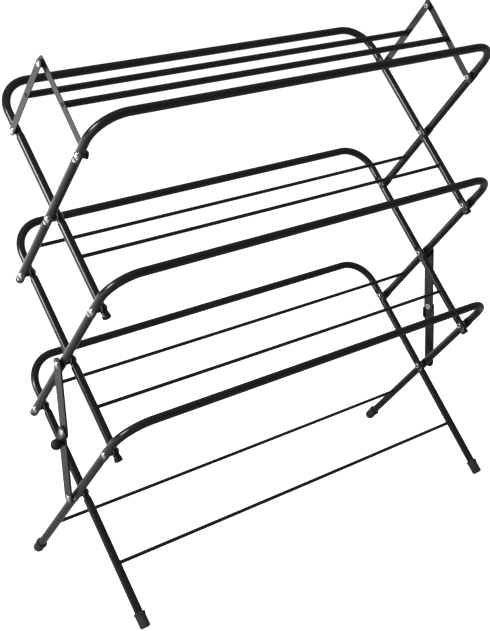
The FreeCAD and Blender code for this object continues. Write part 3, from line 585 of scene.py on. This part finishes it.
def makeRod(node, body, shape):
    low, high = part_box(node)
    centre = (low + high) / 2
    steps, chamfer = shape["steps"], shape["chamfer"]
    spots = [low.x, low.x + chamfer] + [low.x + (high.x - low.x) * k / steps for k in range(1, steps)]
    spots += [high.x - chamfer, high.x]
    rings = []
    for x in spots:
        atEnd = min(x - low.x, high.x - x) < chamfer * 0.5
        rings.append(barStation(x, centre.y, centre.z, shape["endRadius"] if atEnd else shape["radius"]))
    verts, faces, ids = [], [], []
    loft(rings, verts, faces, ids)
    return finishPiece(node + "Bar", body, node, verts, faces, ids, [tubePaint], crease=60)


makeRod("front_roof_rod", "front_ladder", rodShape)
makeRod("rear_roof_rod", "rear_ladder", rodShape)
print("wires and rods drawn")


stripShape = {"half": 0.006, "thick": 0.00075, "corner": 0.00035, "lowEnd": 0.0075, "land": 0.012,
              "rearEnd": 0.0085, "frontEnd": 0.011}


def barSteps(start, finish, half, marks):
    # closer together round the two ends
    spots = set()
    for k in range(13):
        spots.add(start + half * (1 - math.cos(math.radians(90 * k / 12))))
        spots.add(finish - half * (1 - math.cos(math.radians(90 * k / 12))))
    spots.update(mark for mark in marks if start + half < mark < finish - half)
    count = 14
    spots.update(start + half + (finish - start - 2 * half) * k / count for k in range(1, count))
    return sorted(spots)


def endHalf(s, start, finish, half):
    inside = min(s - start, finish - s)
    if inside >= half:
        return half
    return max(0.0004, math.sqrt(max(0.0, half * half - (half - inside) ** 2)))


def makeStrip(node, body, pin, side, lowX, highX, topEnd, shape):
    up, across = legAxes(side)
    start, finish = -shape["lowEnd"], roofArm + topEnd
    low, high = shape["land"], roofArm - shape["land"]
    rings = []
    kinks = [at + step for at in (low, high) for step in (-0.001, 0.0, 0.001)]
    for s in barSteps(start, finish, shape["half"], kinks):
        t = max(0.0, min(1.0, (s - low) / (high - low)))
        x = lowX + (highX - lowX) * t
        centre = Vector((x, pin.y, pin.z)) + up * s
        wide = endHalf(s, start, finish, shape["half"])
        rings.append((centre, Vector((1, 0, 0)), across, shape["thick"], wide, shape["corner"]))
    verts, faces, ids = [], [], []
    loft(rings, verts, faces, ids)
    return finishPiece(node + "Bar", body, node, verts, faces, ids, [stripPaint], crease=40)


frontPin, rearPin = jointAt["front_roof_pivot"], jointAt["rear_roof_pivot"]
for node, pin, side, topEnd, body in (
        ("front_strip_left", frontPin, -1, stripShape["frontEnd"], "front_ladder"),
        ("front_strip_right", frontPin, -1, stripShape["frontEnd"], "front_ladder"),
        ("rear_strip_left", rearPin, 1, stripShape["rearEnd"], "rear_ladder"),
        ("rear_strip_right", rearPin, 1, stripShape["rearEnd"], "rear_ladder")):
    low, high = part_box(node)
    lowX, highX = low.x + stripShape["thick"], high.x - stripShape["thick"]
    makeStrip(node, body, pin, side, lowX, highX, topEnd, stripShape)

linkShape = {
    "half": 0.010,
    "thick": 0.0015,          # half thickness
    "corner": 0.0006,
    "tabLow": 0.024,          # the stop tab starts this far below the hinge
    "tabRamp": 0.006,
    "tabPlay": 0.0003,
    "tabThick": 0.003,
    "tabCorner": 0.0008,
}


def plateStation(x, y, z, thick, wide, corner):
    return (Vector((x, y, z)), Vector((1, 0, 0)), Vector((0, 1, 0)), thick, wide, corner)


def makeUpperLink(node, body, hinge, shape):
    low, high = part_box(node)
    x = (low.x + high.x) / 2
    start, finish = hinge.z - shape["half"], middlePivot.z + shape["half"]
    rings = []
    for z in barSteps(start, finish, shape["half"], ()):
        wide = endHalf(z, start, finish, shape["half"])
        rings.append(plateStation(x, 0, z, shape["thick"], wide, shape["corner"]))
    verts, faces, ids = [], [], []
    loft(rings, verts, faces, ids)
    return finishPiece(node + "Plate", body, node, verts, faces, ids, [linkPaint], crease=40)


def makeLowerLink(node, body, hinge, sideX, shape):
    low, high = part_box(node)
    upperLow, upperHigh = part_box(node.replace("lower", "upper"))
    outside = high.x if sideX > 0 else low.x
    x = outside - sideX * shape["thick"]
    start, finish = bottomPivot.z - shape["half"], hinge.z + shape["half"]
    tabLow = hinge.z - shape["tabLow"]
    ramp = shape["tabRamp"]
    ear = shape["tabPlay"] + shape["tabThick"]
    rings = []
    marks = (tabLow - ramp, tabLow - ramp / 2, tabLow, hinge.z - 0.004, hinge.z - 0.001)
    for z in barSteps(start, finish, shape["half"], marks):
        wide = endHalf(z, start, finish, shape["half"])
        rise = min(1.0, (z - tabLow + ramp) / ramp, (hinge.z + 0.002 - z) / ramp)
        rear = wide + max(0.0, rise) * ear
        rings.append(plateStation(x, (rear - wide) / 2, z, shape["thick"], (rear + wide) / 2, shape["corner"]))
    verts, faces, ids = [], [], []
    loft(rings, verts, faces, ids)
    nearX = upperLow.x if sideX > 0 else upperHigh.x
    tabMid, tabHalf = (nearX + x) / 2, abs(x - nearX) / 2
    tabY = shape["half"] + shape["tabPlay"] + shape["tabThick"] / 2
    tab = []
    tabSteps = (tabLow + 0.001, tabLow + 0.0016, hinge.z - 0.010, hinge.z - 0.0046, hinge.z - 0.004)
    for z in tabSteps:
        shrink = 0.0005 if z in (tabSteps[0], tabSteps[-1]) else 0.0
        tab.append(plateStation(tabMid, tabY, z, tabHalf - shrink, shape["tabThick"] / 2 - shrink,
                                shape["tabCorner"]))
    loft(tab, verts, faces, ids)
    return finishPiece(node + "Plate", body, node, verts, faces, ids, [linkPaint], crease=40)


leftHinge, rightHinge = jointAt["left_brace_hinge"], jointAt["right_brace_hinge"]
makeUpperLink("brace_upper_left", "left_brace_top", leftHinge, linkShape)
makeUpperLink("brace_upper_right", "right_brace_top", rightHinge, linkShape)
makeLowerLink("brace_lower_left", "left_brace_foot", leftHinge, -1, linkShape)
makeLowerLink("brace_lower_right", "right_brace_foot", rightHinge, 1, linkShape)
print("strips and brace links cut")


rivetShape = {
    "washer": 0.0057,
    "washerThick": 0.0007,
    "head": 0.0049,
    "domeShare": 0.82,        # of the height the CAD gives the head
    "tail": 0.0052,
    "tailTall": 0.0028,
    "bore": 0.0018,
    "shank": 0.0025,
}
smallRivet = {**rivetShape, "washer": 0.0047, "washerThick": 0.0004, "head": 0.0042, "tail": 0.0043,
              "tailTall": 0.0018}
hingeRivet = {**rivetShape, "washerThick": 0.0004, "head": 0.0052, "tailTall": 0.0009}
rodRivet = {**rivetShape, "washer": 0.0028, "washerThick": 0.0003, "head": 0.0025, "shank": 0.0015,
            "depth": 0.006, "headTall": 0.0014}


def rivetProfile(inside, outside, top, tailTall, shape):
    # distances from the rack's middle, head at the far end
    seat = outside + shape["washerThick"]
    washer, tail, bore = shape["washer"], shape["tail"], shape["bore"]
    dome = (top - seat) * shape["domeShare"]
    profile = [(seat + dome, 0.0)]
    for k in range(1, 9):
        angle = math.radians(90 * k / 8)
        profile.append((seat + dome * math.cos(angle), shape["head"] * math.sin(angle)))
    profile += [(seat, washer - 0.0002), (outside + shape["washerThick"] * 0.6, washer), (outside, washer),
                (outside, shape["shank"]), (inside, shape["shank"])]
    if not tailTall:
        return profile + [(inside, 0.0)]
    return profile + [
        (inside, tail - 0.0002), (inside - tailTall * 0.35, tail), (inside - tailTall * 0.75, tail - 0.0008),
        (inside - tailTall * 0.97, tail - 0.0021), (inside - tailTall, (tail + bore) / 2),
        (inside - tailTall * 0.92, bore + 0.0003), (inside - tailTall * 0.7, bore),
        (inside - tailTall + 0.0036, bore), (inside - tailTall + 0.0042, 0.0)]


def makeRivets(node, body, spans, shape=rivetShape, finish=brightZinc):
    # spans: (side, inside, outside, top, tail height)
    centre = middleOf(node)
    place = Vector((midX, centre.y, centre.z))
    verts, faces, ids = [], [], []
    for side, inside, outside, top, tailTall in spans:
        turn(rivetProfile(inside, outside, top, tailTall, shape), place, Vector((side, 0, 0)), verts, faces, ids)
    return finishPiece(node + "Set", body, node, verts, faces, ids, [finish], crease=38)


def bothSides(inside, outside, top, shape):
    return [(side, inside, outside, top, shape["tailTall"]) for side in (-1, 1)]


def reachOf(node):
    low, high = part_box(node)
    return midX - low.x, high.x - midX


flat, thin = tubeShape["flatThick"], stripShape["thick"]
outerFlat, outerBack = outerX + flat, outerX - flat
innerFlat, innerBack = innerX + flat, innerX - flat
play = 0.0001
for node, body in (("pivot_rivets_top", "upper_outer"), ("pivot_rivets_bottom", "lower_outer"),
                   ("rear_rivets_upper", "upper_outer"), ("rear_rivets_lower", "middle_outer"),
                   ("front_rivets_upper", "middle_outer"), ("front_rivets_lower", "lower_outer")):
    makeRivets(node, body, bothSides(innerBack - play, outerFlat, reachOf(node)[1], rivetShape))
linkOut = reachOf("brace_upper_right")[1]
top = reachOf("pivot_rivets_middle")[1]
makeRivets("pivot_rivets_middle", "middle_outer", bothSides(innerBack - play, linkOut + play, top, rivetShape))
stripLowX = reachOf("front_strip_left")[0] - thin
top = reachOf("front_strip_rivets")[1]
makeRivets("front_strip_rivets", "upper_outer", bothSides(stripLowX - thin - play, outerFlat, top, rivetShape))

rearX = reachOf("rear_strip_left")[0] - thin
top = reachOf("rear_strip_rivets")[1]
spans = bothSides(innerBack, rearX + thin + play, top, smallRivet)
makeRivets("rear_strip_rivets", "upper_inner", spans, smallRivet)
apexLeft, apexRight = reachOf("apex_rivets")
apexStep = 0.0065  # front strip to rear strip at the apex
frontTopLeft, frontTopRight = rearX - apexStep, rearX + apexStep
makeRivets("apex_rivets", "rear_ladder",
           [(-1, frontTopLeft - thin - play, rearX + thin, apexLeft, smallRivet["tailTall"]),
            (1, rearX - thin, frontTopRight + thin + play, apexRight, smallRivet["tailTall"])], smallRivet)
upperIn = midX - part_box("brace_upper_left")[1].x
linkFace = reachOf("brace_lower_right")[1]
for label, side, index in (("left", -1, 0), ("right", 1, 1)):
    node, body = "brace_hinge_rivet_" + label, label + "_brace_foot"
    span = (side, upperIn - play, linkFace, reachOf(node)[index], hingeRivet["tailTall"])
    makeRivets(node, body, [span], hingeRivet)
    node = "brace_foot_rivet_" + label
    low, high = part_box(node)
    near = (midX - high.x) if side < 0 else (low.x - midX)
    makeRivets(node, body, [(side, near, linkFace, reachOf(node)[index], 0.0)], hingeRivet)

for label in ("front", "rear"):
    node = label + "_rod_rivets"
    spans = [(side, rod - rodRivet["depth"], reach - rodRivet["headTall"], reach, 0.0)
             for side, rod, reach in zip((-1, 1), reachOf(label + "_roof_rod"), reachOf(node))]
    makeRivets(node, label + "_ladder", spans, rodRivet, stripPaint)
print("rivets set")

spacerShape = {
    "radius": 0.0055,
    "edge": 0.0004,
    "bore": 0.0025,
    "washerShare": 0.98,      # radius of the pale washer, of the bush's
    "washerThick": 0.0013,
    "washerEdge": 0.0002,
    "besideShare": 0.9,       # radius of a bush that has a washer
    "gap": 0.0001,
}


def ringProfile(start, finish, radius, edge, shape):
    return [(start, shape["bore"]), (start, radius - edge), (start + edge, radius),
            (finish - edge, radius), (finish, radius - edge), (finish, shape["bore"])]


def makeSpacers(node, body, spans, withWasher, shape):
    # a black bush, with or without a pale washer against the inner leg
    centre = middleOf(node)
    place = Vector((midX, centre.y, centre.z))
    radius = shape["radius"]
    verts, faces, ids = [], [], []
    for side, start, finish in spans:
        axis = Vector((side, 0, 0))
        if withWasher:
            split = start + shape["washerThick"]
            washer = ringProfile(start, split, radius * shape["washerShare"], shape["washerEdge"], shape)
            turn(washer, place, axis, verts, faces, ids, finish=1)
            bush = ringProfile(split + shape["gap"], finish, radius * shape["besideShare"], shape["edge"], shape)
        else:
            bush = ringProfile(start, finish, radius, shape["edge"], shape)
        turn(bush, place, axis, verts, faces, ids)
    finishes = [bushBlack, paleNylon]
    return finishPiece(node + "Bush", body, node, verts, faces, ids, finishes, crease=30)


def spacerPair(start, finish):
    return [(side, start, finish) for side in (-1, 1)]


for node, body in (("pivot_spacers_top", "upper_outer"), ("pivot_spacers_middle", "middle_outer"),
                   ("pivot_spacers_bottom", "lower_outer"), ("rear_spacers_upper", "upper_outer"),
                   ("rear_spacers_lower", "middle_outer"), ("front_spacers_upper", "middle_outer"),
                   ("front_spacers_lower", "lower_outer")):
    makeSpacers(node, body, spacerPair(innerFlat + play, outerBack), True, spacerShape)
apexSpans = [(-1, frontTopLeft + thin + play, rearX - thin), (1, rearX + thin, frontTopRight - thin - play)]
for node, body, spans in (
        ("front_strip_spacers", "upper_outer", spacerPair(stripLowX + thin + play, outerBack)),
        ("rear_strip_spacers", "upper_inner", spacerPair(innerFlat, rearX - thin - play)),
        ("apex_spacers", "rear_ladder", apexSpans),
        ("brace_top_spacers", "middle_outer", spacerPair(outerFlat, upperIn - play))):
    makeSpacers(node, body, spans, False, spacerShape)
for label, side in (("left", -1), ("right", 1)):
    node = "brace_foot_spacer_" + label
    low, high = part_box(node)
    near, far = (midX - high.x, midX - low.x) if side < 0 else (low.x - midX, high.x - midX)
    makeSpacers(node, label + "_brace_foot", [(side, near, far)], False, spacerShape)
print("spacers placed")

plugShape = {"radius": 0.0064, "reach": 0.0165, "flange": 0.003, "dome": 0.0008, "shank": 0.005,
             "depth": 0.0024}


def makePlugs(node, body, legX, origin, side, shape):
    up, _ = legAxes(side)
    verts, faces, ids = [], [], []
    radius, flange, dome = shape["radius"], shape["flange"], shape["dome"]
    inner = flange + shape["depth"]
    profile = [(0.0, 0.0), (0.0, radius * 0.5), (dome * 0.3, radius * 0.8), (dome, radius * 0.94),
               (dome * 2, radius), (flange - 0.0003, radius), (flange, radius - 0.0003),
               (flange, shape["shank"]), (inner, shape["shank"]), (inner, 0.0)]
    for x in (-legX, legX):
        place = origin + Vector((x, 0, 0)) - up * (armLength + shape["reach"])
        turn(profile, place, up, verts, faces, ids, steps=40)
    return finishPiece(node + "Caps", body, node, verts, faces, ids, [plugBlack], crease=32)


makePlugs("outer_plugs_top", "upper_outer", outerX, upper, 1, plugShape)
makePlugs("outer_plugs_middle", "middle_outer", outerX, middle, 1, plugShape)
makePlugs("inner_plugs_top", "upper_inner", innerX, upper, -1, plugShape)
makePlugs("inner_plugs_middle", "middle_inner", innerX, middle, -1, plugShape)

footShape = {
    "reach": 0.218,           # bottom pivot to the cap's end
    "length": 0.024,
    "radius": 0.00825,
    "inner": 0.0063,
    "sole": 0.004,
    "round": 0.0032,
    "lip": 0.0009,
    "ribs": 3,
    "ribStart": 0.0055,
    "ribPitch": 0.0038,
    "ribDepth": 0.00035,
}


def makeFoot(node, body, x, side, shape):
    up, _ = legAxes(side)
    radius, length, lip, corner = shape["radius"], shape["length"], shape["lip"], shape["round"]
    profile = [(0.0, 0.0), (0.0, radius - corner)]
    for k in range(1, 7):
        angle = math.radians(90 * k / 6)
        profile.append((corner * (1 - math.cos(angle)), radius - corner * (1 - math.sin(angle))))
    groove = radius - shape["ribDepth"]
    for k in range(shape["ribs"]):
        start = shape["ribStart"] + shape["ribPitch"] * k
        profile += [(start, radius), (start + 0.0004, groove), (start + 0.0011, groove), (start + 0.0015, radius)]
    profile += [(length - 0.0046, radius), (length - 0.0038, radius + lip * 0.8), (length - 0.0030, radius + lip),
                (length - 0.0012, radius + lip), (length - 0.0004, radius + lip * 0.3),
                (length, radius - 0.0010), (length, shape["inner"]), (length - 0.001, shape["inner"]),
                (shape["sole"], shape["inner"]), (shape["sole"], 0.0)]
    verts, faces, ids = [], [], []
    turn(profile, Vector((x, 0, bottomPivot.z)) - up * shape["reach"], up, verts, faces, ids, steps=48)
    for vert in verts:
        vert.z = max(vert.z, 0.0)
    return finishPiece(node + "Cap", body, node, verts, faces, ids, [footRubber], crease=36)


makeFoot("outer_foot_left", "lower_outer", midX - outerX, 1, footShape)
makeFoot("outer_foot_right", "lower_outer", midX + outerX, 1, footShape)
makeFoot("inner_foot_left", "lower_inner", midX - innerX, -1, footShape)
makeFoot("inner_foot_right", "lower_inner", midX + innerX, -1, footShape)

knobShape = {"seamDepth": 0.00012, "seamRing": 15, "neck": 0.0045, "collar": 0.0055, "stud": 0.002,
             "studReach": 0.0022}


def makeKnob(node, body, shape):
    low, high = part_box(node)
    ball = (high.z - low.z) / 2
    centreX = low.x + ball
    face = midX - linkFace
    away = face - centreX
    profile = [(-ball, 0.0)]
    first = math.asin(shape["neck"] / ball)
    for k in range(1, 27):
        angle = math.pi - (math.pi - first) * k / 26
        radius = ball * math.sin(angle)
        groove = shape["seamDepth"] if k == shape["seamRing"] else 0.0
        profile.append((ball * math.cos(angle), radius - groove))
    neck, collar, stud, inside = shape["neck"], shape["collar"], shape["stud"], away + shape["studReach"]
    profile += [(away - 0.0016, neck), (away - 0.0012, collar), (away - 0.0002, collar),
                (away, collar - 0.0002), (away, stud), (inside, stud), (inside, 0.0)]
    verts, faces, ids = [], [], []
    place = Vector((centreX, (low.y + high.y) / 2, (low.z + high.z) / 2))
    turn(profile, place, Vector((1, 0, 0)), verts, faces, ids, steps=56)
    return finishPiece(node + "Ball", body, node, verts, faces, ids, [knobBlack], crease=30)


makeKnob("brace_knob", "left_brace_foot", knobShape)
print("caps, feet and knob fitted")


studio = {
    "floorSize": 40.0,
    "floorColour": (0.86, 0.86, 0.86),
    # painted reflection: the dark colour the floor takes only in the paint's reflections
    "floorMirrored": (0.06, 0.06, 0.06),
    "floorGlow": 1.0,
    # painted reflection: the floor glows for the paint's reflections alone, though it is no lamp
    "paintedReflection": 1.35,           # glow that only the paint's reflections see
    "paintedReflectionLeast": 0.15,
    "paintedReflectionTowards": (-0.6, 0.8, 0.0),
    "paintedReflectionNear": 0.15,
    "paintedReflectionFar": 2.2,
    "paintedReflectionCurve": 0.8,
    "world": 0.1,
}


def makeFloor(settings):
    # white to the eye; for the paint's reflections a painted reflection: dark, with a painted glow brightening
    # towards the rear left
    half = settings["floorSize"] / 2
    mesh = bpy.data.meshes.new("floor")
    corners = [(-half, -half, 0), (half, -half, 0), (half, half, 0), (-half, half, 0)]
    mesh.from_pydata(corners, [], [(0, 1, 2, 3)])
    floor = bpy.data.objects.new("floor", mesh)
    bpy.context.scene.collection.objects.link(floor)
    floor.location.z = -0.0002
    finish, tree, shader = startFinish("paleFloor")
    shader.inputs["Roughness"].default_value = 0.9
    shader.inputs["Specular IOR Level"].default_value = 0.1
    # painted reflection: dark colour, and a glow towards the rear left, seen only by reflection rays
    rays = tree.nodes.new("ShaderNodeLightPath")
    seen = mixColours(tree, rays, "Is Glossy Ray", settings["floorColour"], settings["floorMirrored"])
    tree.links.new(seen.outputs[2], shader.inputs["Base Color"])
    place = tree.nodes.new("ShaderNodeTexCoord")
    towards = tree.nodes.new("ShaderNodeVectorMath")
    towards.operation = "DOT_PRODUCT"
    towards.inputs[1].default_value = settings["paintedReflectionTowards"]
    connect(tree, place, "Object", towards, 0)
    ramp = addRange(tree, towards, "Value", settings["paintedReflectionNear"], settings["paintedReflectionFar"])
    curve = addMath(tree, "POWER")
    curve.inputs[1].default_value = settings["paintedReflectionCurve"]
    connect(tree, ramp, "Result", curve, 0)
    paintedReflection = addMath(tree, "MULTIPLY_ADD")
    paintedReflection.inputs[1].default_value = settings["paintedReflection"]
    paintedReflection.inputs[2].default_value = settings["paintedReflectionLeast"]
    connect(tree, curve, "Value", paintedReflection, 0)
    onlyGlossy = addMath(tree, "MULTIPLY")
    connect(tree, paintedReflection, "Value", onlyGlossy, 0)
    connect(tree, rays, "Is Glossy Ray", onlyGlossy, 1)
    level = addMath(tree, "MULTIPLY_ADD")
    level.inputs[1].default_value = settings["floorGlow"]
    connect(tree, rays, "Is Camera Ray", level, 0)
    connect(tree, onlyGlossy, "Value", level, 2)
    shader.inputs["Emission Color"].default_value = (1, 1, 1, 1)
    tree.links.new(level.outputs["Value"], shader.inputs["Emission Strength"])
    mesh.materials.append(finish)


def makeLamp(name, spot, target, size, power, mirrored=True):
    light = bpy.data.lights.new(name, "AREA")
    light.shape = "RECTANGLE"
    light.size, light.size_y = size
    light.energy = power
    lamp = bpy.data.objects.new(name, light)
    bpy.context.scene.collection.objects.link(lamp)
    lamp.location = spot
    lamp.visible_glossy = mirrored
    lamp.rotation_euler = (Vector(target) - Vector(spot)).to_track_quat("-Z", "Y").to_euler()


def makeSky(settings):
    world = bpy.data.worlds.new("studioAir")
    bpy.context.scene.world = world
    world.use_nodes = True
    tree = world.node_tree
    air = tree.nodes["Background"]
    rays = tree.nodes.new("ShaderNodeLightPath")
    level = tree.nodes.new("ShaderNodeMapRange")
    level.inputs["To Min"].default_value = settings["world"]
    level.inputs["To Max"].default_value = 1.0
    tree.links.new(rays.outputs["Is Camera Ray"], level.inputs["Value"])
    air.inputs["Color"].default_value = (1, 1, 1, 1)
    tree.links.new(level.outputs["Result"], air.inputs["Strength"])


makeFloor(studio)
makeSky(studio)
makeLamp("softBoxLeft", (-2.75, 0.38, 1.75), (0, 0, 0.6), (0.75, 1.1), 65)
makeLamp("softBoxTop", (0.0, 0.0, 3.4), (0, 0, 0.4), (2.0, 2.0), 60, False)
makeLamp("softBoxRight", (2.8, -1.6, 1.8), (0, 0, 0.4), (0.8, 1.2), 12, False)
bpy.context.scene.view_settings.view_transform = "Standard"
print("studio lit")
